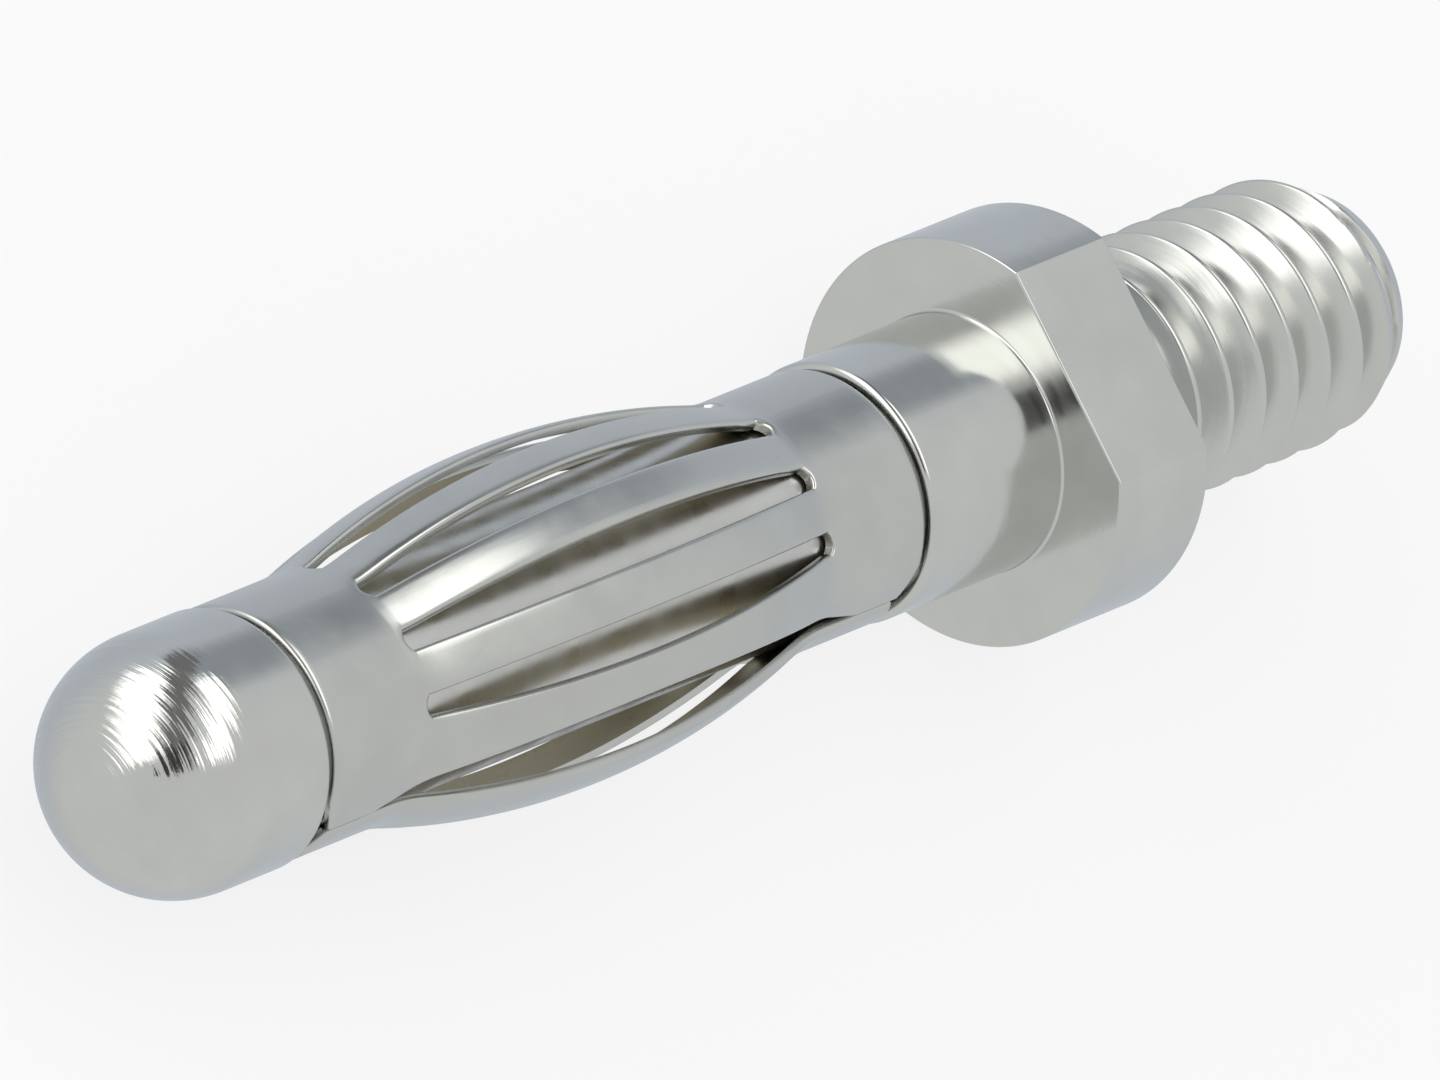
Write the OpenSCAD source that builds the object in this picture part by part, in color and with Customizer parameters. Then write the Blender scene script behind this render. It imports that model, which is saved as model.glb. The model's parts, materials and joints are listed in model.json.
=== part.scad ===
// Banana plug for 4 mm sockets, with a screw stud
// A turned pin carries a rolled, slotted spring sleeve between its round head and its shoulder.
// The axis lies along X, nose towards -X and stud towards +X, with +Z square to the spanner flats.
// The origin is on the axis, at the flange face that the stud stands on.

/* [Head and pin] */
// Diameter of the round head and of the shoulder
head_d = 3.84; // [3.70:0.02:4.00]
// Length of the head behind its round nose
head_len = 1.2; // [0.6:0.1:3.0]
// Diameter of the pin inside the sleeve
pin_d = 3.4; // [3.10:0.02:3.50]
// Length of the shoulder in front of the flange
shoulder_len = 2.75; // [1.50:0.05:5.00]
// Edge break on the head and the shoulder
edge_break = 0.07; // [0.02:0.01:0.12]

/* [Flange] */
// Diameter of the flange
flange_d = 6; // [5.6:0.1:8.0]
// Thickness of the flange
flange_t = 1.9; // [1.0:0.1:4.0]
// Width across the two spanner flats
flats_w = 5; // [4.6:0.1:5.4]
// Edge break round the flange
flange_break = 0.08; // [0.02:0.01:0.30]

/* [Stud] */
// Diameter over the thread crests
stud_d = 3.9; // [3.00:0.05:4.00]
// Length of the stud from the flange
stud_len = 5.9; // [4.0:0.1:12.0]
// Length of the tapered lead at the end of the stud
lead_len = 0.8; // [0.3:0.1:1.5]
// Depth of the tapered lead
lead_depth = 0.4; // [0.20:0.05:0.60]

/* [Spring sleeve] */
// Thickness of the rolled sheet
sheet_t = 0.15; // [0.10:0.01:0.20]
// Clearance between the sleeve's collars and the pin, on the radius
pin_clearance = 0.035; // [0.015:0.005:0.090]
// Length of the sleeve
sleeve_len = 12.45; // [11.60:0.05:18.00]
// Play between the sleeve and the head, and between the sleeve and the shoulder
end_play = 0.12; // [0.05:0.01:0.30]
// Diameter over the leaves at the middle of the bulge
bulge_d = 5; // [4.60:0.05:5.30]
// Length of the bulge between the collars
bulge_len = 9.2; // [8.0:0.1:11.0]
// Radius of the hollow curve where the bulge runs into a collar
bulge_fillet = 2.5; // [1.0:0.1:4.0]
// How far the seam is turned from the top, towards -Y
seam_turn = 73.1; // [0:0.1:360]

/* [Slots and seam] */
// Positions round the sleeve, two of which the seam takes up
positions = 12; // [10:1:14]
// How far the slots are turned back from an even layout about the seam
slot_shift = 2.4; // [0:0.1:5]
// Width of a leaf
leaf_w = 0.68; // [0.50:0.02:0.80]
// Length of the slots
slot_len = 8.4; // [6.0:0.1:9.6]
// Gap left where the rolled edges meet
seam_gap = 0.08; // [0.04:0.01:0.20]
// Length of the bowed relief beside the seam
relief_len = 10.2; // [7.0:0.1:11.0]
// Depth of the bowed relief at the middle of the bulge
relief_depth = 1.08; // [0.50:0.02:1.20]
// How far the sheet's corners are cut back at the seam, along the axis
corner_back = 0.25; // [0.10:0.05:0.50]
// How far round that cut runs from the seam
corner_run = 0.6; // [0.20:0.05:1.00]

/* [Hidden] */
$fn = 96;

head_r = head_d / 2;
pin_r = pin_d / 2;
stud_r = stud_d / 2;
flange_r = flange_d / 2;

// Stations along the axis, from the stud's face towards the nose
flange_front = -flange_t;
shoulder_front = flange_front - shoulder_len;
pin_len = sleeve_len + 2 * end_play;
head_back = shoulder_front - pin_len;
nose_centre = head_back - head_len;
sleeve_mid = shoulder_front - pin_len / 2;

// The sleeve's bore, and the crown and fillet arcs that share a tangent point on each side
bore_r = pin_r + pin_clearance;
collar_r = bore_r + sheet_t;
bulge_half = bulge_len / 2;
bulge_rise = bulge_d / 2 - collar_r;
arc_sum = (bulge_half * bulge_half + bulge_rise * bulge_rise) / (2 * bulge_rise);
crown_r = arc_sum - bulge_fillet;
crown_turn = asin(bulge_half / arc_sum);
crown_centre = bulge_d / 2 - crown_r;
fillet_centre = collar_r + bulge_fillet;

// Straight steps along the curves of the sleeve's section
crown_steps = 8;
fillet_steps = 3;

// The slots leave leaves of one width, so each is a wedge with its point inside the pin
pitch_turn = 360 / positions;
slot_count = positions - 2;
slot_point = leaf_w / 2 / sin(pitch_turn / 2);
tool_reach = bulge_d / 2 + 1;
slot_half = (tool_reach - slot_point) * tan(pitch_turn / 2);
relief_half = relief_len / 2;
relief_r = (relief_half * relief_half + relief_depth * relief_depth) / (2 * relief_depth);

// Lays a shape that was made along Z along X, with its X axis on Y
module along_x() {
    rotate([90, 0, 90]) children();
}

// Half section of the turned body, radius across and axis up
module body_section() {
    translate([0, nose_centre])
        intersection() {
            circle(r = head_r);
            translate([0, -head_r]) square(head_r);
        }
    polygon([
        [0, nose_centre],
        [head_r, nose_centre],
        [head_r, head_back - edge_break],
        [head_r - edge_break, head_back],
        [pin_r, head_back],
        [pin_r, shoulder_front],
        [head_r - edge_break, shoulder_front],
        [head_r, shoulder_front + edge_break],
        [head_r, flange_front],
        [flange_r - flange_break, flange_front],
        [flange_r, flange_front + flange_break],
        [flange_r, -flange_break],
        [flange_r - flange_break, 0],
        [stud_r, 0],
        [stud_r, stud_len - lead_len],
        [stud_r - lead_depth, stud_len],
        [0, stud_len]
    ]);
}

// Material outside the two spanner flats
module flats_cut() {
    for (side = [-1, 1])
        translate([-flange_t - 1, -flange_r - 1, side > 0 ? flats_w / 2 : -flats_w / 2 - flange_r])
            cube([flange_t + 1 + stud_len, flange_d + 2, flange_r]);
}

module plug_body() {
    color([0.80, 0.80, 0.79])
        difference() {
            along_x() rotate_extrude() body_section();
            flats_cut();
        }
}

// One face of the sleeve's wall, lying out from its bore, from the front edge to the rear edge
function wall_line(out) =
    let (crown = crown_r - sheet_t + out, fillet = bulge_fillet + sheet_t - out)
    concat(
        [[bore_r + out, -sleeve_len / 2]],
        [for (i = [0 : fillet_steps - 1])
            let (a = crown_turn * i / fillet_steps)
            [fillet_centre - fillet * cos(a), fillet * sin(a) - bulge_half]],
        [for (i = [-crown_steps : crown_steps])
            let (a = crown_turn * i / crown_steps)
            [crown_centre + crown * cos(a), crown * sin(a)]],
        [for (i = [fillet_steps - 1 : -1 : 0])
            let (a = crown_turn * i / fillet_steps)
            [fillet_centre - fillet * cos(a), bulge_half - fillet * sin(a)]],
        [[bore_r + out, sleeve_len / 2]]
    );

// Half section of the sleeve's wall before it is slotted, radius across and axis up
module sleeve_section() {
    inner = wall_line(0);
    polygon(concat(wall_line(sheet_t), [for (i = [len(inner) - 1 : -1 : 0]) inner[i]]));
}

// Wedge-shaped slots between the leaves
module slots_cut() {
    for (i = [1 : slot_count])
        rotate([0, 0, (i + 0.5) * pitch_turn - slot_shift])
            linear_extrude(height = slot_len, center = true)
                polygon([[slot_point, 0], [tool_reach, -slot_half], [tool_reach, slot_half]]);
}

// Outline cut through the sheet at the seam, tangent across and axis up
// The slit flares past both ends, which cuts the sheet's corners back
module seam_outline() {
    edge = seam_gap / 2;
    flare = edge + 2 * corner_run;
    corner = sleeve_len / 2 - corner_back;
    past = sleeve_len / 2 + corner_back;
    polygon([
        [-edge, -corner], [-flare, -past], [flare, -past], [edge, -corner],
        [edge, corner], [flare, past], [-flare, past], [-edge, corner]
    ]);
    intersection() {
        translate([relief_r - relief_depth, 0]) circle(r = relief_r);
        translate([-relief_depth, -relief_half]) square([relief_depth, relief_len]);
    }
}

module spring_sleeve() {
    color([0.77, 0.78, 0.79])
        translate([sleeve_mid, 0, 0])
            along_x()
                rotate([0, 0, 90 + seam_turn])
                    difference() {
                        rotate_extrude() sleeve_section();
                        slots_cut();
                        rotate([90, 0, 90]) linear_extrude(height = tool_reach) seam_outline();
                    }
}

plug_body();
spring_sleeve();
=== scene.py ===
"""Dressed model of a nickel-plated banana plug with a screw stud.

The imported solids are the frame. Two pieces stand for them: the turned body, whose stud carries a true
helical thread, and the spring sleeve, which is rolled from a flat blank with its slots and its bowed seam
edge. Meshes are modelled in millimetres and scaled to metres when each piece is finished.
"""

from __future__ import annotations

import json
import logging
import math
from dataclasses import dataclass
from enum import Enum
from typing import Iterable

import bmesh
import bpy
from mathutils import Matrix, Vector

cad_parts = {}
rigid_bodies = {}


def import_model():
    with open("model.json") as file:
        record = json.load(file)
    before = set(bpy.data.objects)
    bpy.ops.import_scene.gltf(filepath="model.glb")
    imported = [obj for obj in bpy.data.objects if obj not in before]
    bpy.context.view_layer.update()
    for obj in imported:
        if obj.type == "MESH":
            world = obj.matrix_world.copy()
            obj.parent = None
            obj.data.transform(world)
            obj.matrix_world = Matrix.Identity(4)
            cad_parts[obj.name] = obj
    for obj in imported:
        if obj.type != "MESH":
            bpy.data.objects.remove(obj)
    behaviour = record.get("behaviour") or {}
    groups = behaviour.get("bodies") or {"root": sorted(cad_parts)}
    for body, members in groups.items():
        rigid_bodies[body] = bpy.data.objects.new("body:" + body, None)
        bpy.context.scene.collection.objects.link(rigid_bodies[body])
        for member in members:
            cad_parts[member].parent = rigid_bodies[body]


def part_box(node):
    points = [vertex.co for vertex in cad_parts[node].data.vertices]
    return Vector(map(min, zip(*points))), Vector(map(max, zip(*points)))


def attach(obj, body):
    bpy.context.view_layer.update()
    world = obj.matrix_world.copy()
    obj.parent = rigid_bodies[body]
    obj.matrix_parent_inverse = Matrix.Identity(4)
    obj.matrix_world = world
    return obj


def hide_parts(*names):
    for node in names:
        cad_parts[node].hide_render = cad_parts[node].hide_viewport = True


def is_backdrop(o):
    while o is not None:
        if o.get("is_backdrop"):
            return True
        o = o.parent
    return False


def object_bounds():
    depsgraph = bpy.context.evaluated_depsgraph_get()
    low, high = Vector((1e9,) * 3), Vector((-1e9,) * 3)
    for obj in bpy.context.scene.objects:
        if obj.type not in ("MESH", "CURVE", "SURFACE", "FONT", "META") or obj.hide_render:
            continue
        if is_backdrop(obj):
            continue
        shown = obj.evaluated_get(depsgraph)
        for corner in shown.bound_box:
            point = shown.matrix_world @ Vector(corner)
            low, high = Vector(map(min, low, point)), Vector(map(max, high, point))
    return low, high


LOG = logging.getLogger("banana_plug")

MM = 0.001
MERGE_MM = 1e-4
SHARP_DEG = 40.0
ROUND_STEPS = 3

Colour = tuple[float, float, float, float]
Triple = tuple[float, float, float]
WHITE: Colour = (1.0, 1.0, 1.0, 1.0)


class Marks(Enum):
    """The way a surface was worked, which gives its fine marks their direction."""

    TURNED = "turned"
    MILLED = "milled"
    ROLLED = "rolled"


# How closely a straight grain follows on itself along each axis: lines are long where this is small
GRAIN_STRETCH = {Marks.MILLED: (1.0, 0.05, 0.05), Marks.ROLLED: (0.06, 1.0, 1.0)}


class NodeSheet:
    """Short way to place and wire the nodes of one shader tree."""

    def __init__(self, tree: bpy.types.NodeTree) -> None:
        """Takes over a tree and empties it."""
        self.tree = tree
        tree.nodes.clear()

    @classmethod
    def for_material(cls, name: str) -> tuple[bpy.types.Material, NodeSheet]:
        """Makes a material and takes over its tree.

        Args:
            name: Name of the material.

        Returns:
            The material and its empty sheet.
        """
        material = bpy.data.materials.new(name)
        material.use_nodes = True
        return material, cls(material.node_tree)

    def add(self, kind: str, inputs: dict | None = None, **settings: object) -> bpy.types.Node:
        """Adds a node.

        Args:
            kind: Blender's identifier of the node type.
            inputs: Values, or output sockets to link, by socket name or number.
            settings: Properties of the node itself.

        Returns:
            The new node.
        """
        node = self.tree.nodes.new(kind)
        for name, value in settings.items():
            setattr(node, name, value)
        for socket, value in (inputs or {}).items():
            if isinstance(value, bpy.types.NodeSocket):
                self.tree.links.new(value, node.inputs[socket])
            else:
                node.inputs[socket].default_value = value
        return node

    def sum(self, operation: str, *terms: object) -> bpy.types.NodeSocket:
        """Adds a Math node.

        Args:
            operation: Name of the sum, such as MULTIPLY.
            terms: Numbers or sockets, in the order of the node's inputs.

        Returns:
            The node's output socket.
        """
        return self.add("ShaderNodeMath", dict(enumerate(terms)), operation=operation).outputs[0]

    def vector_sum(self, operation: str, *terms: object) -> bpy.types.Node:
        """Adds a Vector Math node.

        Args:
            operation: Name of the sum, such as MULTIPLY.
            terms: Vectors or sockets, in the order of the node's inputs.

        Returns:
            The new node.
        """
        return self.add("ShaderNodeVectorMath", dict(enumerate(terms)), operation=operation)

    def noise(self, inputs: dict, **settings: object) -> bpy.types.NodeSocket:
        """Adds a Noise Texture node.

        Args:
            inputs: Values, or output sockets to link, by socket name.
            settings: Properties of the node itself.

        Returns:
            The noise as one number.
        """
        return self.add("ShaderNodeTexNoise", inputs, **settings).outputs["Fac"]


class MarkGroups:
    """The shader node groups that the finishes share, each built once.

    A slow waver shifts the lathe's rings by a few rings. Haze has the same course as the marks, but changes
    at a share of their pace.
    """

    WAVER_PER_MM = 0.55
    WAVER_RINGS = 1.6
    RING_HAZE_SHARE = 0.37
    GRAIN_HAZE_SHARE = 0.2
    SPECKS_PER_PATCH = 11.0

    @staticmethod
    def _new_group(
        name: str, inputs: dict[str, str], outputs: Iterable[str]
    ) -> tuple[NodeSheet, bpy.types.Node, bpy.types.NodeSocket]:
        """Starts a node group with its sockets.

        Args:
            name: Name of the group.
            inputs: Socket type of each input, by name. One of them is Vector.
            outputs: Names of the outputs, which are all plain numbers.

        Returns:
            The group's sheet, its input node, and the given vector in millimetres.
        """
        tree = bpy.data.node_groups.new(name, "ShaderNodeTree")
        for socket, kind in inputs.items():
            tree.interface.new_socket(socket, in_out="INPUT", socket_type=kind)
        for socket in outputs:
            tree.interface.new_socket(socket, in_out="OUTPUT", socket_type="NodeSocketFloat")
        sheet = NodeSheet(tree)
        given = sheet.add("NodeGroupInput")
        in_mm = sheet.vector_sum("SCALE", given.outputs["Vector"])
        in_mm.inputs["Scale"].default_value = 1 / MM
        return sheet, given, in_mm.outputs[0]

    @classmethod
    def turned(cls) -> bpy.types.NodeTree:
        """Rings left by a lathe tool, which follow the outline along and across the axis.

        Returns:
            The group, with the outputs Height and Haze.
        """
        name = "lathe_rings"
        if name in bpy.data.node_groups:
            return bpy.data.node_groups[name]
        sheet, given, in_mm = cls._new_group(
            name,
            {"Vector": "NodeSocketVector", "Per mm": "NodeSocketFloat"},
            ("Height", "Haze"),
        )
        along = sheet.add("ShaderNodeSeparateXYZ", {0: in_mm}).outputs["X"]
        across = sheet.vector_sum("MULTIPLY", in_mm, (0.0, 1.0, 1.0))
        radius = sheet.vector_sum("LENGTH", across.outputs[0]).outputs["Value"]
        path = sheet.sum("ADD", along, radius)
        waver = sheet.noise({"Vector": in_mm, "Scale": cls.WAVER_PER_MM, "Detail": 1.0})
        swing = sheet.sum("MULTIPLY", waver, cls.WAVER_RINGS)
        ring = sheet.sum("MULTIPLY_ADD", path, given.outputs["Per mm"], swing)
        fine = {"W": ring, "Scale": 1.0, "Detail": 2.0, "Roughness": 0.6}
        height = sheet.noise(fine, noise_dimensions="1D")
        wide = {"W": sheet.sum("MULTIPLY", ring, cls.RING_HAZE_SHARE), "Scale": 1.0, "Detail": 1.0}
        haze = sheet.noise(wide, noise_dimensions="1D")
        sheet.add("NodeGroupOutput", {"Height": height, "Haze": haze})
        return sheet.tree

    @classmethod
    def straight(cls) -> bpy.types.NodeTree:
        """Fine straight lines, as milling and rolling leave them.

        Returns:
            The group, with the outputs Height and Haze.
        """
        name = "straight_grain"
        if name in bpy.data.node_groups:
            return bpy.data.node_groups[name]
        sheet, given, in_mm = cls._new_group(
            name,
            {"Vector": "NodeSocketVector", "Stretch": "NodeSocketVector", "Per mm": "NodeSocketFloat"},
            ("Height", "Haze"),
        )
        per_mm = given.outputs["Per mm"]
        drawn = sheet.vector_sum("MULTIPLY", in_mm, given.outputs["Stretch"]).outputs[0]
        height = sheet.noise({"Vector": drawn, "Scale": per_mm, "Detail": 3.0, "Roughness": 0.6})
        wide = sheet.sum("MULTIPLY", per_mm, cls.GRAIN_HAZE_SHARE)
        haze = sheet.noise({"Vector": drawn, "Scale": wide})
        sheet.add("NodeGroupOutput", {"Height": height, "Haze": haze})
        return sheet.tree

    @classmethod
    def mottle(cls) -> bpy.types.NodeTree:
        """Soft patches of plating thickness, and fine specks between them.

        Returns:
            The group, with the outputs Patches and Specks.
        """
        name = "plate_mottle"
        if name in bpy.data.node_groups:
            return bpy.data.node_groups[name]
        sheet, given, in_mm = cls._new_group(
            name,
            {"Vector": "NodeSocketVector", "Per mm": "NodeSocketFloat"},
            ("Patches", "Specks"),
        )
        per_mm = given.outputs["Per mm"]
        patches = sheet.noise({"Vector": in_mm, "Scale": per_mm, "Detail": 3.0, "Roughness": 0.55})
        fine = sheet.sum("MULTIPLY", per_mm, cls.SPECKS_PER_PATCH)
        specks = sheet.noise({"Vector": in_mm, "Scale": fine})
        sheet.add("NodeGroupOutput", {"Patches": patches, "Specks": specks})
        return sheet.tree


@dataclass(frozen=True)
class NickelFinish:
    """One nickel-plated surface: its colour, its gloss and the marks of how it was worked."""

    name: str
    marks: Marks
    marks_per_mm: float
    mark_depth_mm: float
    speck_depth: float = 0.15
    patches_per_mm: float = 1.1
    dark: Colour = (0.6, 0.605, 0.59, 1.0)
    light: Colour = (0.7, 0.71, 0.69, 1.0)
    gloss: float = 0.12
    haze: float = 0.24
    dull_from: float = 0.1
    dull_to: float = 0.4

    def _marks_node(self, sheet: NodeSheet, place: bpy.types.NodeSocket) -> bpy.types.Node:
        """Places the group of marks that suits the way the surface was worked.

        Args:
            sheet: The material's sheet.
            place: Object coordinates.

        Returns:
            The group node, with the outputs Height and Haze.
        """
        values = {"Vector": place, "Per mm": self.marks_per_mm}
        if self.marks is Marks.TURNED:
            return sheet.add("ShaderNodeGroup", values, node_tree=MarkGroups.turned())
        values["Stretch"] = GRAIN_STRETCH[self.marks]
        return sheet.add("ShaderNodeGroup", values, node_tree=MarkGroups.straight())

    def material(self) -> bpy.types.Material:
        """Builds the finish as a material.

        Returns:
            The new material.
        """
        material, sheet = NodeSheet.for_material(self.name)
        place = sheet.add("ShaderNodeTexCoord").outputs["Object"]
        marks = self._marks_node(sheet, place)
        spread = {"Vector": place, "Per mm": self.patches_per_mm}
        mottle = sheet.add("ShaderNodeGroup", spread, node_tree=MarkGroups.mottle())
        shades = {"Factor": mottle.outputs["Patches"], "A": self.dark, "B": self.light}
        colour = sheet.add("ShaderNodeMix", shades, data_type="RGBA")
        rough = sheet.add(
            "ShaderNodeMapRange",
            {
                "Value": sheet.sum("MULTIPLY", mottle.outputs["Patches"], marks.outputs["Haze"]),
                "From Min": self.dull_from,
                "From Max": self.dull_to,
                "To Min": self.gloss,
                "To Max": self.haze,
            },
        )
        specks = sheet.sum("MULTIPLY", mottle.outputs["Specks"], self.speck_depth)
        height = sheet.sum("ADD", marks.outputs["Height"], specks)
        depth = self.mark_depth_mm * MM
        bump = sheet.add("ShaderNodeBump", {"Height": height, "Strength": 1.0, "Distance": depth})
        metal = sheet.add(
            "ShaderNodeBsdfPrincipled",
            {
                "Base Color": colour.outputs["Result"],
                "Metallic": 1.0,
                "Roughness": rough.outputs["Result"],
                "Normal": bump.outputs["Normal"],
            },
        )
        sheet.add("ShaderNodeOutputMaterial", {"Surface": metal.outputs[0]})
        return material


NOSE_FINISH = NickelFinish("turned_nose_nickel", Marks.TURNED, 6.5, 0.009, gloss=0.08, haze=0.17)
TURNED_FINISH = NickelFinish("turned_nickel", Marks.TURNED, 9.0, 0.0006, gloss=0.1, haze=0.2)
THREAD_FINISH = NickelFinish("thread_nickel", Marks.TURNED, 5.0, 0.0015, gloss=0.18, haze=0.3)
FLAT_FINISH = NickelFinish("milled_flat_nickel", Marks.MILLED, 6.0, 0.0015, gloss=0.16, haze=0.3)
SHEET_FINISH = NickelFinish(
    "rolled_sheet_nickel",
    Marks.ROLLED,
    9.0,
    0.0012,
    dark=(0.56, 0.565, 0.55, 1.0),
    light=(0.655, 0.665, 0.645, 1.0),
    gloss=0.16,
    haze=0.29,
)
PIN_FINISH = NickelFinish(
    "drawn_pin_nickel",
    Marks.TURNED,
    6.0,
    0.0003,
    dark=(0.61, 0.61, 0.595, 1.0),
    light=(0.72, 0.725, 0.71, 1.0),
    gloss=0.25,
    haze=0.36,
)
# Painted shade: the sleeve's inner faces get a darker, golden colour that stands in for the shade and dim
# reflections inside the slots
LINING_PAINTED_SHADE = NickelFinish(
    "sleeve_inside_painted_shade",
    Marks.ROLLED,
    7.0,
    0.002,
    dark=(0.55, 0.48, 0.33, 1.0),
    light=(0.7, 0.63, 0.47, 1.0),
    gloss=0.24,
    haze=0.4,
)


class MeshWork:
    """Mesh steps that both pieces use."""

    @staticmethod
    def extrude_line(
        bm: bmesh.types.BMesh, tip: bmesh.types.BMVert, points: Iterable[tuple[float, float]]
    ) -> bmesh.types.BMVert:
        """Draws a half section on from a vertex.

        Args:
            bm: The mesh.
            tip: The vertex to go on from.
            points: Places along the axis and off it.

        Returns:
            The last vertex.
        """
        for along, radius in points:
            step = bmesh.ops.extrude_vert_indiv(bm, verts=[tip])
            tip = step["verts"][0]
            tip.co = (along, 0.0, radius)
        return tip

    @staticmethod
    def round_off(bm: bmesh.types.BMesh, corners: list, size: float, affect: str = "EDGES") -> None:
        """Rounds the edges of a mesh, or the corners of a line.

        Args:
            bm: The mesh.
            corners: The edges or the vertices.
            size: How far back the rounding starts.
            affect: EDGES or VERTICES, whichever the corners are.
        """
        bmesh.ops.bevel(
            bm,
            geom=corners,
            offset=size,
            offset_type="OFFSET",
            segments=ROUND_STEPS,
            profile=0.5,
            affect=affect,
            clamp_overlap=True,
            material=-1,
        )

    @staticmethod
    def cut_off(bm: bmesh.types.BMesh, place: Triple, outwards: Triple) -> list[bmesh.types.BMEdge]:
        """Cuts a mesh with a plane and takes off what lies outside it.

        Args:
            bm: The mesh.
            place: A point of the plane.
            outwards: Direction, square to the plane, of the part that is taken off.

        Returns:
            The edges along the cut.
        """
        cut = bmesh.ops.bisect_plane(
            bm,
            geom=bm.verts[:] + bm.edges[:] + bm.faces[:],
            dist=MERGE_MM,
            plane_co=place,
            plane_no=outwards,
            clear_outer=True,
        )
        return [item for item in cut["geom_cut"] if isinstance(item, bmesh.types.BMEdge)]

    @staticmethod
    def studio_item(name: str, bm: bmesh.types.BMesh, material: bpy.types.Material) -> bpy.types.Object:
        """Makes an object of the studio from a mesh in metres.

        Args:
            name: Name of the object.
            bm: The mesh, which is freed.
            material: Its material.

        Returns:
            The object, in the scene.
        """
        mesh = bpy.data.meshes.new(name)
        bm.to_mesh(mesh)
        bm.free()
        mesh.materials.append(material)
        item = bpy.data.objects.new(name, mesh)
        bpy.context.scene.collection.objects.link(item)
        return item

    @staticmethod
    def finish(name: str, bm: bmesh.types.BMesh, finishes: Iterable[NickelFinish]) -> bpy.types.Object:
        """Makes the finished object of a mesh.

        The shading is evened out while the mesh is in millimetres, because the modifier takes the faces of
        a mesh in metres for empty ones.

        Args:
            name: Name of the piece.
            bm: The mesh in millimetres, which is freed.
            finishes: The finishes, in the order of the faces' material numbers.

        Returns:
            The object, in the scene.
        """
        for face in bm.faces:
            face.smooth = True
        for edge in bm.edges:
            edge.smooth = edge.calc_face_angle(0.0) < math.radians(SHARP_DEG)
        draft_mesh = bpy.data.meshes.new(name + "_draft")
        bm.to_mesh(draft_mesh)
        bm.free()
        for finish in finishes:
            draft_mesh.materials.append(finish.material())
        scene = bpy.context.scene.collection.objects
        draft = bpy.data.objects.new(name + "_draft", draft_mesh)
        scene.link(draft)
        shading = draft.modifiers.new("even_shading", "WEIGHTED_NORMAL")
        shading.keep_sharp = True
        mesh = bpy.data.meshes.new_from_object(draft.evaluated_get(bpy.context.evaluated_depsgraph_get()))
        mesh.name = name
        mesh.transform(Matrix.Scale(MM, 4))
        bpy.data.objects.remove(draft)
        bpy.data.meshes.remove(draft_mesh)
        piece = bpy.data.objects.new(name, mesh)
        scene.link(piece)
        return piece


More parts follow.
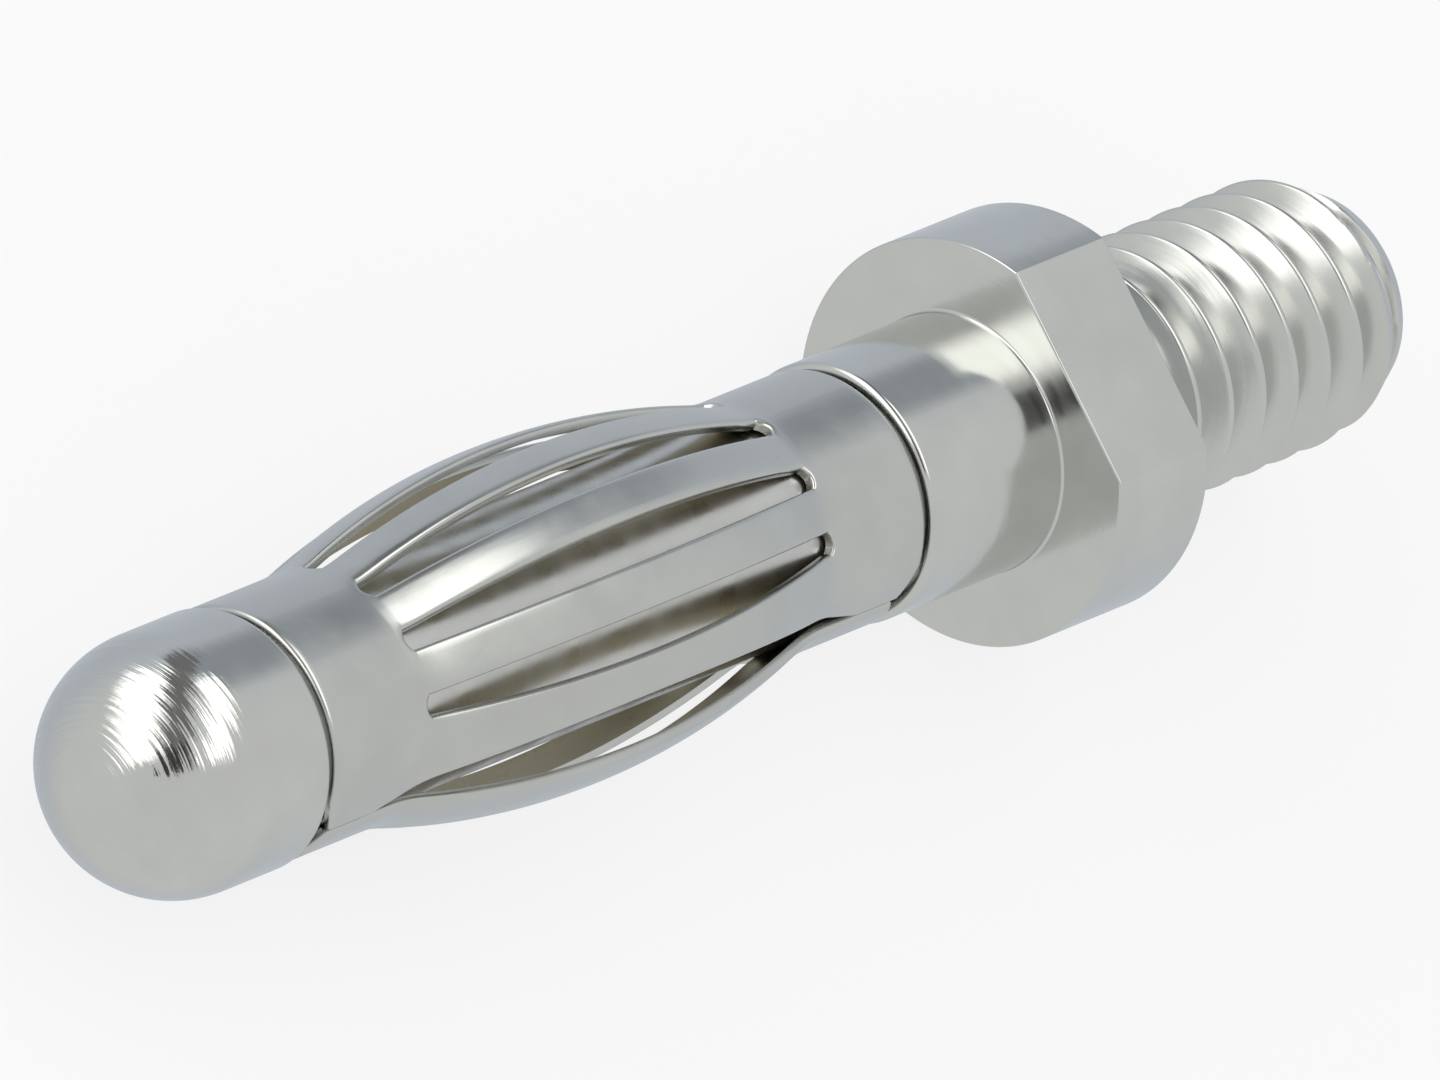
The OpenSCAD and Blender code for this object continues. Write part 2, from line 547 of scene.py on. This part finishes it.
@dataclass
class TurnedBody:
    """The turned body: head, pin, shoulder, flange with two spanner flats, and threaded stud.

    Sizes are in millimetres, and places lie along the axis from the flange face that the stud stands on.
    """

    nose_tip: float
    stud_end: float
    flange_r: float
    flat_height: float
    sleeve_front: float
    sleeve_rear: float
    end_play: float = 0.12
    head_r: float = 1.92
    pin_r: float = 1.7
    flange_t: float = 1.9
    edge_round: float = 0.1
    flange_round: float = 0.08
    corner_fillet: float = 0.05
    stud_r: float = 1.95
    seat_r: float = 2.02
    pitch: float = 0.7
    thread_depth: float = 0.4
    crest_flat: float = 0.07
    root_flat: float = 0.1
    thread_round: float = 0.03
    flank_cuts: int = 6
    thread_start: float = -0.07
    spare_turns: int = 2
    lead_len: float = 0.8
    lead_depth: float = 0.4
    turn_steps: int = 128
    nose_steps: int = 32
    flat_facing: float = 0.999

    @classmethod
    def from_frame(cls) -> TurnedBody:
        """Reads the body's reach and the sleeve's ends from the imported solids.

        Returns:
            The body with its sizes.
        """
        low, high = (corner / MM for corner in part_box("plug_body"))
        sleeve_low, sleeve_high = (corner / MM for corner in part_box("spring_sleeve"))
        return cls(
            nose_tip=low.x,
            stud_end=high.x,
            flange_r=high.y,
            flat_height=high.z,
            sleeve_front=sleeve_low.x,
            sleeve_rear=sleeve_high.x,
        )

    def _turn_outline(self, bm: bmesh.types.BMesh) -> None:
        """Spins the half section from the nose to the flange's rear face, which stays open at the stud.

        Args:
            bm: The empty mesh.
        """
        nose_centre = self.nose_tip + self.head_r
        head_back = self.sleeve_front - self.end_play
        shoulder_front = self.sleeve_rear + self.end_play
        tip = bm.verts.new((self.nose_tip, 0.0, 0.0))
        arc = bmesh.ops.spin(
            bm,
            geom=[tip],
            cent=(nose_centre, 0.0, 0.0),
            axis=(0.0, 1.0, 0.0),
            angle=math.pi / 2,
            steps=self.nose_steps,
        )
        last = [v for v in arc["geom_last"] if isinstance(v, bmesh.types.BMVert)][0]
        MeshWork.extrude_line(
            bm,
            last,
            [
                (head_back, self.head_r),
                (head_back, self.pin_r),
                (shoulder_front, self.pin_r),
                (shoulder_front, self.head_r),
                (-self.flange_t, self.head_r),
                (-self.flange_t, self.flange_r),
                (0.0, self.flange_r),
                (0.0, self.seat_r),
            ],
        )
        bmesh.ops.spin(
            bm,
            geom=bm.verts[:] + bm.edges[:],
            cent=(0.0, 0.0, 0.0),
            axis=(1.0, 0.0, 0.0),
            angle=2 * math.pi,
            steps=self.turn_steps,
            use_merge=True,
        )
        bmesh.ops.remove_doubles(bm, verts=bm.verts, dist=MERGE_MM)

    def _mill_flats(self, bm: bmesh.types.BMesh) -> None:
        """Cuts the two spanner flats on the flange and closes them.

        Args:
            bm: The turned mesh.
        """
        for side in (-1.0, 1.0):
            rim = MeshWork.cut_off(bm, (0.0, 0.0, side * self.flat_height), (0.0, 0.0, side))
            bmesh.ops.edgeloop_fill(bm, edges=rim)

    def _break_edges(self, bm: bmesh.types.BMesh) -> None:
        """Rounds the outer edges of the turned lengths, and fills the corner in front of the flange.

        Args:
            bm: The turned and milled mesh.
        """
        sharp = math.radians(SHARP_DEG)
        inner = [e for e in bm.edges if e.is_manifold and e.calc_face_angle_signed() < -sharp]
        corner = [e for e in inner if all(abs(v.co.x + self.flange_t) < MERGE_MM for v in e.verts)]
        MeshWork.round_off(bm, corner, self.corner_fillet)
        edges = [e for e in bm.edges if e.is_manifold and e.calc_face_angle_signed() > sharp]
        split = -self.flange_t - MERGE_MM
        on_flange = [e for e in edges if min(v.co.x for v in e.verts) >= split]
        on_front = [e for e in edges if max(v.co.x for v in e.verts) < split]
        MeshWork.round_off(bm, on_flange, self.flange_round)
        MeshWork.round_off(bm, [e for e in on_front if e.is_valid], self.edge_round)

    def _wind_thread(self) -> bmesh.types.BMesh:
        """Winds one pitch of the thread's section along the axis and trims it to the stud.

        Returns:
            The thread's mesh, open at the flange and closed at its end.
        """
        bm = bmesh.new()
        root_r = self.stud_r - self.thread_depth
        flank = (self.pitch - self.crest_flat - self.root_flat) / 2
        crest = self.root_flat / 2 + flank
        start = self.thread_start - self.spare_turns * self.pitch
        tip = bm.verts.new((start, 0.0, root_r))
        MeshWork.extrude_line(
            bm,
            tip,
            [
                (start + self.root_flat / 2, root_r),
                (start + crest, self.stud_r),
                (start + crest + self.crest_flat, self.stud_r),
                (start + self.pitch - self.root_flat / 2, root_r),
                (start + self.pitch, root_r),
            ],
        )
        corners = [v for v in bm.verts if len(v.link_edges) == 2]
        MeshWork.round_off(bm, corners, self.thread_round, affect="VERTICES")
        flanks = [e for e in bm.edges if e.calc_length() > flank]
        bmesh.ops.subdivide_edges(bm, edges=flanks, cuts=self.flank_cuts)
        bmesh.ops.spin(
            bm,
            geom=bm.verts[:] + bm.edges[:],
            cent=(0.0, 0.0, 0.0),
            axis=(1.0, 0.0, 0.0),
            dvec=(self.pitch / self.turn_steps, 0.0, 0.0),
            angle=2 * math.pi,
            steps=self.turn_steps,
        )
        one_turn = bm.verts[:] + bm.edges[:] + bm.faces[:]
        for turn in range(1, math.ceil(self.stud_end / self.pitch) + self.spare_turns + 1):
            copied = bmesh.ops.duplicate(bm, geom=one_turn)["geom"]
            moved = [item for item in copied if isinstance(item, bmesh.types.BMVert)]
            bmesh.ops.translate(bm, verts=moved, vec=(turn * self.pitch, 0.0, 0.0))
        bmesh.ops.remove_doubles(bm, verts=bm.verts, dist=MERGE_MM)
        for place, outwards in ((0.0, -1.0), (self.stud_end, 1.0)):
            MeshWork.cut_off(bm, (place, 0.0, 0.0), (outwards, 0.0, 0.0))
        self._taper_lead(bm)
        rim = [e for e in bm.edges if e.is_boundary and min(v.co.x for v in e.verts) > self.stud_end / 2]
        bmesh.ops.edgeloop_fill(bm, edges=rim)
        return bm

    def _taper_lead(self, bm: bmesh.types.BMesh) -> None:
        """Presses the crests at the stud's end down to the cone of its lead.

        Args:
            bm: The thread's mesh.
        """
        lead_start = self.stud_end - self.lead_len
        for vertex in bm.verts:
            into_lead = max(0.0, vertex.co.x - lead_start) / self.lead_len
            limit = self.stud_r - self.lead_depth * into_lead
            radius = vertex.co.yz.length
            if radius > limit:
                vertex.co.yz = vertex.co.yz * (limit / radius)

    def _dress(self, bm: bmesh.types.BMesh, finishes: list[NickelFinish]) -> None:
        """Gives the nose, the pin and the flats their own finishes.

        Args:
            bm: The body's mesh without the thread.
            finishes: The body's finishes, in the order of the faces' material numbers.
        """
        for face in bm.faces:
            middle = face.calc_center_median()
            if middle.x < self.nose_tip + self.head_r:
                face.material_index = finishes.index(NOSE_FINISH)
            elif middle.x < self.sleeve_rear and middle.yz.length < self.pin_r + MERGE_MM:
                face.material_index = finishes.index(PIN_FINISH)
            elif abs(face.normal.z) > self.flat_facing and abs(middle.z) > self.flat_height - MERGE_MM:
                face.material_index = finishes.index(FLAT_FINISH)

    def _join_thread(self, bm: bmesh.types.BMesh, finish_number: int) -> None:
        """Adds the thread and closes the ring between its first turn and the flange.

        Args:
            bm: The body's mesh, open at the stud.
            finish_number: Material number of the thread's faces.
        """
        thread = self._wind_thread()
        for face in thread.faces:
            face.material_index = finish_number
        carrier = bpy.data.meshes.new("thread")
        thread.to_mesh(carrier)
        thread.free()
        bm.from_mesh(carrier)
        bpy.data.meshes.remove(carrier)
        open_edges = [e for e in bm.edges if e.is_boundary]
        bmesh.ops.triangle_fill(bm, edges=open_edges, normal=(1.0, 0.0, 0.0), use_beauty=True)
        bmesh.ops.dissolve_degenerate(bm, edges=bm.edges, dist=MERGE_MM)
        bmesh.ops.recalc_face_normals(bm, faces=bm.faces)

    def build(self) -> bpy.types.Object:
        """Models the body and dresses it.

        Returns:
            The finished piece.
        """
        finishes = [TURNED_FINISH, NOSE_FINISH, FLAT_FINISH, THREAD_FINISH, PIN_FINISH]
        bm = bmesh.new()
        self._turn_outline(bm)
        self._mill_flats(bm)
        bmesh.ops.recalc_face_normals(bm, faces=bm.faces)
        self._break_edges(bm)
        self._dress(bm, finishes)
        self._join_thread(bm, finishes.index(THREAD_FINISH))
        piece = MeshWork.finish("turned_body", bm, finishes)
        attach(piece, "plug")
        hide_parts("plug_body")
        return piece


@dataclass
class SpringSleeve:
    """The slotted, bulged sleeve, modelled as a flat blank that is then rolled round the pin.

    Sizes are in millimetres and angles in degrees. Angles round the sleeve count from its seam, which lies
    the seam's turn away from +Z towards -Y.
    """

    middle: float
    length: float
    bulge_r: float
    sheet_t: float = 0.15
    collar_r: float = 1.885
    bulge_half: float = 4.6
    bulge_fillet: float = 2.5
    seam_turn: float = 73.1
    seam_gap: float = 0.08
    positions: int = 12
    slot_shift: float = 2.4
    leaf_w: float = 0.68
    slot_len: float = 8.4
    relief_len: float = 10.2
    relief_depth: float = 1.08
    corner_back: float = 0.25
    corner_run: float = 0.6
    corner_fade: float = 0.56
    edge_round: float = 0.075
    round_shares: tuple[float, ...] = (0.12, 0.4, 1.0, 2.0)
    slot_bow: float = 0.07
    bow_fade: float = 0.225
    leaf_steps: int = 5
    wide_steps: int = 12
    slot_steps: int = 6
    bulge_steps: int = 64
    # Faces turned further towards the axis than this get the painted shade of the sleeve's inside
    shaded_lining_facing: float = -0.5

    @classmethod
    def from_frame(cls) -> SpringSleeve:
        """Reads the sleeve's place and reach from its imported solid.

        Returns:
            The sleeve with its sizes.
        """
        low, high = (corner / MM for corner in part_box("spring_sleeve"))
        return cls(middle=(low.x + high.x) / 2, length=high.x - low.x, bulge_r=high.z)

    def _wall_radius(self, along: float) -> float:
        """Outer radius of the sheet, on the crown arc and the two fillet arcs that run into the collars.

        Args:
            along: Distance from the middle of the sleeve.

        Returns:
            The radius.
        """
        rise = self.bulge_r - self.collar_r
        arc_sum = (self.bulge_half**2 + rise**2) / (2 * rise)
        crown = arc_sum - self.bulge_fillet
        off = abs(along)
        if off >= self.bulge_half:
            return self.collar_r
        if off > crown * self.bulge_half / arc_sum:
            run = self.bulge_half - off
            return self.collar_r + self.bulge_fillet - math.sqrt(self.bulge_fillet**2 - run**2)
        return self.bulge_r - crown + math.sqrt(crown**2 - off**2)

    def _seam_edge(self, along: float) -> float:
        """Distance of the bowed free edge from the seam's middle, round the sleeve.

        Args:
            along: Distance from the middle of the sleeve.

        Returns:
            The distance.
        """
        half = self.relief_len / 2
        radius = (half**2 + self.relief_depth**2) / (2 * self.relief_depth)
        bow = 0.0
        if abs(along) < half:
            bow = self.relief_depth - radius + math.sqrt(radius**2 - along**2)
        return max(self.seam_gap / 2, bow)

    def _rows(self) -> list[float]:
        """Places of the blank's rows, closest where an edge of the sheet is rounded.

        Returns:
            Distances along the axis from the middle of the sleeve.
        """
        slot_half = self.slot_len / 2
        end = self.length / 2
        crown = [self.slot_len * i / self.bulge_steps - slot_half for i in range(self.bulge_steps + 1)]
        near = [share * self.edge_round for share in self.round_shares]
        collar = [slot_half + step for step in near]
        collar += [(slot_half + self.bulge_half) / 2, self.bulge_half, self.relief_len / 2]
        collar += [(self.relief_len / 2 + end) / 2]
        collar += [end - step for step in reversed(near)] + [end]
        return [-place for place in reversed(collar)] + crown + collar

    def _leaf_shares(self, steps: int) -> list[float]:
        """Places of the columns across a leaf, closest at its two edges.

        Args:
            steps: Even steps between the rounded edges.

        Returns:
            Shares of the leaf's width, without the first edge.
        """
        near = [share * self.edge_round / self.leaf_w for share in self.round_shares]
        inner = [near[-1] + (1 - 2 * near[-1]) * i / steps for i in range(1, steps)]
        return near + inner + [1 - step for step in reversed(near)] + [1.0]

    def _columns(self) -> list[tuple[int, bool, float]]:
        """Columns of the blank from the seam round to the seam.

        Returns:
            For each column the number of the slot that its strip is or follows, whether the strip is a
            slot, and how far across the strip it lies.
        """
        columns = [(0, False, share) for share in [0.0] + self._leaf_shares(self.wide_steps)]
        for number in range(1, self.positions - 1):
            columns += [(number, True, (i + 1) / self.slot_steps) for i in range(self.slot_steps)]
            columns += [(number, False, share) for share in self._leaf_shares(self.leaf_steps)]
        return columns

    def _span(self, number: int, is_slot: bool, along: float) -> tuple[float, float]:
        """Angles of a strip's two sides, so that every leaf keeps its width as it bows out.

        Args:
            number: Number of the slot that the strip is, or follows. The strip after the seam has 0.
            is_slot: Whether the strip is a slot.
            along: Distance from the middle of the sleeve.

        Returns:
            The first and the last angle from the seam.
        """
        radius = self._wall_radius(along)
        pitch = 360 / self.positions
        slot_side = pitch / 2 - math.degrees(math.asin(self.leaf_w / 2 / radius))
        here = (number + 0.5) * pitch - self.slot_shift
        if is_slot:
            return here - slot_side, here + slot_side
        first, last = here + slot_side, here + pitch - slot_side
        if number == 0:
            first = math.degrees(math.asin(self.seam_gap / 2 / radius))
        if number == self.positions - 2:
            last = 360 - math.degrees(math.asin(self._seam_edge(along) / radius))
        return first, last

    def _off_edge(self, column: tuple[int, bool, float], along: float) -> float:
        """Distance of a point of the sheet from its nearest cut edge.

        Args:
            column: The point's strip, whether that is a slot, and how far across it the point lies.
            along: Distance from the middle of the sleeve.

        Returns:
            The distance.
        """
        number, is_slot, share = column
        first, last = self._span(number, is_slot, along)
        width = math.radians(last - first) * self._wall_radius(along)
        past_slot = max(0.0, abs(along) - self.slot_len / 2)
        off_end = self.length / 2 - abs(along)
        if is_slot:
            return min(off_end, past_slot)
        off_first, off_last = width * share, width * (1 - share)
        if number > 0:
            off_first = math.hypot(off_first, past_slot)
        if number < self.positions - 2:
            off_last = math.hypot(off_last, past_slot)
        return min(off_end, off_first, off_last)

    def _rolled(self, column: tuple[int, bool, float], along: float) -> Vector:
        """Place of one point of the blank after rolling.

        Args:
            column: The point's strip, whether that is a slot, and how far across it the point lies.
            along: Distance from the middle of the sleeve.

        Returns:
            The place in the plug's frame.
        """
        number, is_slot, share = column
        first, last = self._span(number, is_slot, along)
        angle = first + (last - first) * share
        past_slot = abs(along) - self.slot_len / 2
        if is_slot and 0 <= past_slot < self.bow_fade:
            bow = self.slot_bow * (1 - (2 * share - 1) ** 2)
            along += math.copysign(bow * (1 - past_slot / self.bow_fade), along)
        radius = self._wall_radius(along)
        off_seam = radius * math.radians(min(angle, 360 - angle)) - self.seam_gap / 2
        off_end = self.length / 2 - abs(along)
        if off_end < self.corner_fade:
            cut_back = self.corner_back * max(0.0, 1 - off_seam / self.corner_run)
            along -= math.copysign(cut_back * (1 - off_end / self.corner_fade), along)
        turn = math.radians(90 + self.seam_turn + angle)
        return Vector((self.middle + along, radius * math.cos(turn), radius * math.sin(turn)))

    def _roll_blank(self, bm: bmesh.types.BMesh) -> None:
        """Lays out the slotted blank and rolls it into the bulged sleeve.

        Args:
            bm: The empty mesh, which gets a layer with each vertex's distance from the sheet's edges.
        """
        rows, columns = self._rows(), self._columns()
        across, down = len(columns) - 1, len(rows) - 1
        half = 0.5
        bmesh.ops.create_grid(bm, x_segments=across, y_segments=down, size=half)
        cut = []
        for face in bm.faces:
            middle = face.calc_center_median()
            column = math.ceil((middle.x + half) * across)
            row = math.floor((middle.y + half) * down)
            if columns[column][1] and abs(rows[row] + rows[row + 1]) < self.slot_len:
                cut.append(face)
        bmesh.ops.delete(bm, geom=cut, context="FACES")
        edge_layer = bm.verts.layers.float.new("off_edge")
        for vertex in bm.verts:
            column = columns[round((vertex.co.x + half) * across)]
            along = rows[round((vertex.co.y + half) * down)]
            vertex[edge_layer] = self._off_edge(column, along)
            vertex.co = self._rolled(column, along)

    def _round_edges(self, bm: bmesh.types.BMesh) -> None:
        """Rounds the outer side of every cut edge, as punching leaves it.

        Args:
            bm: The sleeve's closed mesh.
        """
        edge_layer = bm.verts.layers.float["off_edge"]
        for vertex in bm.verts:
            radius = vertex.co.yz.length
            wall = self._wall_radius(vertex.co.x - self.middle)
            short = self.edge_round - vertex[edge_layer]
            if short > 0 and radius > wall - self.sheet_t / 2:
                drop = self.edge_round - math.sqrt(self.edge_round**2 - short**2)
                vertex.co.yz = vertex.co.yz * ((radius - drop) / radius)
        bm.verts.layers.float.remove(edge_layer)

    def build(self) -> bpy.types.Object:
        """Models the sleeve and dresses it.

        Returns:
            The finished piece.
        """
        finishes = [SHEET_FINISH, LINING_PAINTED_SHADE]
        bm = bmesh.new()
        self._roll_blank(bm)
        bmesh.ops.recalc_face_normals(bm, faces=bm.faces)
        sample = next(iter(bm.faces))
        outwards = sample.normal.yz.dot(sample.calc_center_median().yz) > 0
        bmesh.ops.solidify(bm, geom=bm.faces[:], thickness=self.sheet_t if outwards else -self.sheet_t)
        bmesh.ops.recalc_face_normals(bm, faces=bm.faces)
        self._round_edges(bm)
        bm.normal_update()
        # Painted shade: faces that turn towards the axis get the darker, golden colour of the shaded inside
        for face in bm.faces:
            if face.normal.yz.dot(face.calc_center_median().yz.normalized()) < self.shaded_lining_facing:
                face.material_index = finishes.index(LINING_PAINTED_SHADE)
        piece = MeshWork.finish("rolled_sleeve", bm, finishes)
        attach(piece, "sleeve")
        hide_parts("spring_sleeve")
        return piece


@dataclass(frozen=True)
class PhotoCamera:
    """The camera at the photograph's viewing angle. Lengths are in millimetres, angles in degrees."""

    azimuth: float = -83.85
    elevation: float = 45.08
    roll: float = -59.25
    aim_along: float = -7.016
    distance: float = 715.5
    lens: float = 1275.4
    sensor: float = 36.0
    nearest: float = 50.0
    farthest: float = 20000.0

    def axes(self) -> Matrix:
        """Works out the way the camera is turned.

        Returns:
            The camera's right, up and backward directions as the columns of a matrix.
        """
        turn, rise, lean = (math.radians(a) for a in (self.azimuth, self.elevation, self.roll))
        back = Vector((math.sin(turn) * math.cos(rise), -math.cos(turn) * math.cos(rise), math.sin(rise)))
        level_right = Vector((0.0, 0.0, 1.0)).cross(back).normalized()
        level_up = back.cross(level_right)
        right = level_right * math.cos(lean) - level_up * math.sin(lean)
        up = level_right * math.sin(lean) + level_up * math.cos(lean)
        return Matrix((right, up, back)).transposed()

    def build(self) -> bpy.types.Object:
        """Places the camera.

        Returns:
            The camera, which is also the scene's.
        """
        data = bpy.data.cameras.new("photo_camera")
        data.sensor_width = self.sensor
        data.lens = self.lens
        data.clip_start = self.nearest * MM
        data.clip_end = self.farthest * MM
        camera = bpy.data.objects.new("photo_camera", data)
        axes = self.axes()
        place = Vector((self.aim_along, 0.0, 0.0)) + axes.col[2] * self.distance
        camera.matrix_world = Matrix.Translation(place * MM) @ axes.to_4x4()
        bpy.context.scene.collection.objects.link(camera)
        bpy.context.scene.camera = camera
        return camera


@dataclass(frozen=True)
class Softbox:
    """A rectangular lamp that is brightest inside and fades towards its sides.

    Its two ends lie equally far from the plug, in directions given as right, up and back of the
    photograph's camera. Lengths are in metres, and fades are shares of the width or the height.
    """

    name: str
    foot: Triple
    head: Triple
    width: float
    left_fade: float
    right_fade: float
    end_fade: float = 0.12
    radiance: float = 1.42
    colour: Triple = (1.0, 0.995, 0.94)
    reach: float = 0.8

    def _fade(self, data: bpy.types.Light) -> None:
        """Lets the light fall off towards the sides of the box.

        Args:
            data: The lamp's data.
        """
        data.use_nodes = True
        sheet = NodeSheet(data.node_tree)
        place = sheet.add("ShaderNodeNewGeometry").outputs["Parametric"]
        across, along, _ = sheet.add("ShaderNodeSeparateXYZ", {0: place}).outputs
        strength = 1.0
        for share, fade in (
            (across, self.left_fade),
            (sheet.sum("SUBTRACT", 1.0, across), self.right_fade),
            (along, self.end_fade),
            (sheet.sum("SUBTRACT", 1.0, along), self.end_fade),
        ):
            ramp = sheet.add(
                "ShaderNodeMapRange",
                {"Value": share, "From Min": 0.0, "From Max": fade},
                interpolation_type="SMOOTHSTEP",
            )
            strength = sheet.sum("MULTIPLY", strength, ramp.outputs["Result"])
        glow = sheet.add("ShaderNodeEmission", {"Strength": strength})
        sheet.add("ShaderNodeOutputLight", {"Surface": glow.outputs[0]})

    def build(self, axes: Matrix, centre: Vector) -> bpy.types.Object:
        """Places the lamp so that it faces the plug.

        Args:
            axes: The camera's right, up and backward directions as columns.
            centre: The place it faces, in metres.

        Returns:
            The lamp.
        """
        foot, head = ((axes @ Vector(way)).normalized() * self.reach for way in (self.foot, self.head))
        up, towards = (head - foot).normalized(), (head + foot).normalized()
        turn = Matrix((up.cross(towards), up, towards)).transposed()
        data = bpy.data.lights.new(self.name, "AREA")
        data.shape = "RECTANGLE"
        data.size = self.width
        data.size_y = (head - foot).length
        data.energy = self.radiance * math.pi * data.size * data.size_y
        data.color = self.colour
        self._fade(data)
        lamp = bpy.data.objects.new(self.name, data)
        lamp.matrix_world = Matrix.Translation(centre + (head + foot) / 2) @ turn.to_4x4()
        bpy.context.scene.collection.objects.link(lamp)
        return lamp


@dataclass(frozen=True)
class DarkPanel:
    """A dark strip that is bent round the plug in front of the camera and shows only in mirrored light.

    Angles are in degrees upwards from the camera's direction, lengths in metres.
    """

    name: str
    low: float
    high: float
    left: float
    right: float
    tone: float
    distance: float = 0.5
    steps: int = 16

    def build(self, axes: Matrix, centre: Vector) -> bpy.types.Object:
        """Bends the strip round the plug.

        Args:
            axes: The camera's right, up and backward directions as columns.
            centre: The middle of the bend, in metres.

        Returns:
            The strip.
        """
        right, up, back = axes.col
        start = math.radians(self.low)
        foot = centre + (back * math.cos(start) + up * math.sin(start)) * self.distance
        bm = bmesh.new()
        side = bm.verts.new(foot + right * self.left)
        line = bmesh.ops.extrude_vert_indiv(bm, verts=[side])
        bmesh.ops.translate(bm, verts=line["verts"], vec=right * (self.right - self.left))
        bmesh.ops.spin(
            bm,
            geom=bm.verts[:] + bm.edges[:],
            cent=centre,
            axis=right,
            angle=math.radians(self.low - self.high),
            steps=self.steps,
        )
        material, sheet = NodeSheet.for_material(self.name)
        dark = sheet.add("ShaderNodeEmission", {"Color": WHITE, "Strength": self.tone})
        sheet.add("ShaderNodeOutputMaterial", {"Surface": dark.outputs[0]})
        strip = MeshWork.studio_item(self.name, bm, material)
        strip.visible_camera = False
        strip.visible_diffuse = False
        strip.visible_transmission = False
        strip.visible_shadow = False
        strip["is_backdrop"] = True
        return strip


@dataclass(frozen=True)
class Studio:
    """White floor, two softboxes with a dark gap between them for the camera, and pale walls.

    Directions are right, up and back of the photograph's camera.
    """

    floor_height: float
    centre: Vector
    floor_size: float = 4.0
    floor_colour: Colour = (0.8, 0.8, 0.8, 1.0)
    floor_white: float = 0.8
    near_wall: Colour = (0.715, 0.72, 0.71, 1.0)
    far_wall: Colour = (0.56, 0.6, 0.65, 1.0)
    far_way: Triple = (0.0, 0.45, -0.893)
    far_turns: tuple[float, float] = (0.05, 0.85)
    ceiling: Colour = (0.33, 0.36, 0.39, 1.0)
    ceiling_way: Triple = (0.358, 0.921, -0.153)
    ceiling_turns: tuple[float, float] = (0.9, 0.985)
    panels: tuple[DarkPanel, ...] = (
        DarkPanel("gap_between_boxes", -8.0, 104.0, -0.035, 0.115, 0.19),
        DarkPanel("camera_front", -9.0, 13.0, -0.075, 0.08, 0.05, distance=0.49),
    )
    boxes: tuple[Softbox, ...] = (
        Softbox("left_softbox", (-0.448, -0.058, 0.893), (-0.27, 0.962, 0.0), 0.5, 0.4, 0.18),
        Softbox("right_softbox", (0.6, -0.03, 0.8), (0.37, 0.927, 0.051), 0.3, 0.2, 0.35),
    )

    def _ground(self, sheet: NodeSheet) -> bpy.types.NodeSocket:
        """Shader of the floor: matt, but nearly white to the camera.

        Args:
            sheet: The sheet of the floor's material.

        Returns:
            The shader's output.
        """
        seen = sheet.add("ShaderNodeLightPath").outputs["Is Camera Ray"]
        matt = sheet.add("ShaderNodeBsdfDiffuse", {"Color": self.floor_colour})
        glow = sheet.add("ShaderNodeEmission", {"Color": WHITE, "Strength": 1.0})
        share = sheet.sum("MULTIPLY", seen, self.floor_white)
        mixed = sheet.add("ShaderNodeMixShader", {0: share, 1: matt.outputs[0], 2: glow.outputs[0]})
        return mixed.outputs[0]

    def _floor(self) -> bpy.types.Object:
        """Lays the floor under the plug, where mirrored light passes through it to the pale walls.

        Returns:
            The floor.
        """
        bm = bmesh.new()
        bmesh.ops.create_grid(bm, x_segments=1, y_segments=1, size=self.floor_size)
        bmesh.ops.translate(bm, verts=bm.verts, vec=(0.0, 0.0, self.floor_height))
        material, sheet = NodeSheet.for_material("white_ground")
        sheet.add("ShaderNodeOutputMaterial", {"Surface": self._ground(sheet)})
        floor = MeshWork.studio_item("floor", bm, material)
        floor.visible_glossy = False
        floor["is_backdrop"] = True
        return floor

    def _walls(self, axes: Matrix) -> None:
        """Makes the world: pale walls, cooler far from the camera, a dim ceiling, and white to the camera.

        Args:
            axes: The camera's right, up and backward directions as columns.
        """
        world = bpy.data.worlds.new("studio_walls")
        world.use_nodes = True
        sheet = NodeSheet(world.node_tree)
        way = sheet.add("ShaderNodeTexCoord").outputs["Generated"]
        tone = self.near_wall
        for towards, (start, full), colour in (
            (self.far_way, self.far_turns, self.far_wall),
            (self.ceiling_way, self.ceiling_turns, self.ceiling),
        ):
            reach = sheet.vector_sum("DOT_PRODUCT", way, axes @ Vector(towards)).outputs["Value"]
            share = sheet.add(
                "ShaderNodeMapRange",
                {"Value": reach, "From Min": start, "From Max": full},
                interpolation_type="SMOOTHSTEP",
            )
            ends = {"Factor": share.outputs["Result"], "A": tone, "B": colour}
            tone = sheet.add("ShaderNodeMix", ends, data_type="RGBA").outputs["Result"]
        walls = sheet.add("ShaderNodeBackground", {"Color": tone, "Strength": 1.0})
        white = sheet.add("ShaderNodeBackground", {"Color": WHITE, "Strength": 1.0})
        seen = sheet.add("ShaderNodeLightPath").outputs["Is Camera Ray"]
        mixed = sheet.add("ShaderNodeMixShader", {0: seen, 1: walls.outputs[0], 2: white.outputs[0]})
        sheet.add("ShaderNodeOutputWorld", {"Surface": mixed.outputs[0]})
        bpy.context.scene.world = world

    def build(self, axes: Matrix) -> None:
        """Sets the studio up round the plug.

        Args:
            axes: The camera's right, up and backward directions as columns.
        """
        self._floor()
        self._walls(axes)
        for item in self.panels + self.boxes:
            item.build(axes, self.centre)
        bpy.context.scene.view_settings.view_transform = "Standard"


def main() -> None:
    """Loads the frame, builds the pieces and the studio, and logs each piece's number of faces."""
    logging.basicConfig(level=logging.INFO, format="%(name)s: %(message)s")
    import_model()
    cad_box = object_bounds()
    camera = PhotoCamera()
    camera.build()
    for maker in (TurnedBody.from_frame(), SpringSleeve.from_frame()):
        piece = maker.build()
        LOG.info("%s: %d faces", piece.name, len(piece.data.polygons))
    low, high = cad_box
    Studio(floor_height=low.z, centre=(low + high) / 2).build(camera.axes())


if __name__ == "__main__":
    main()
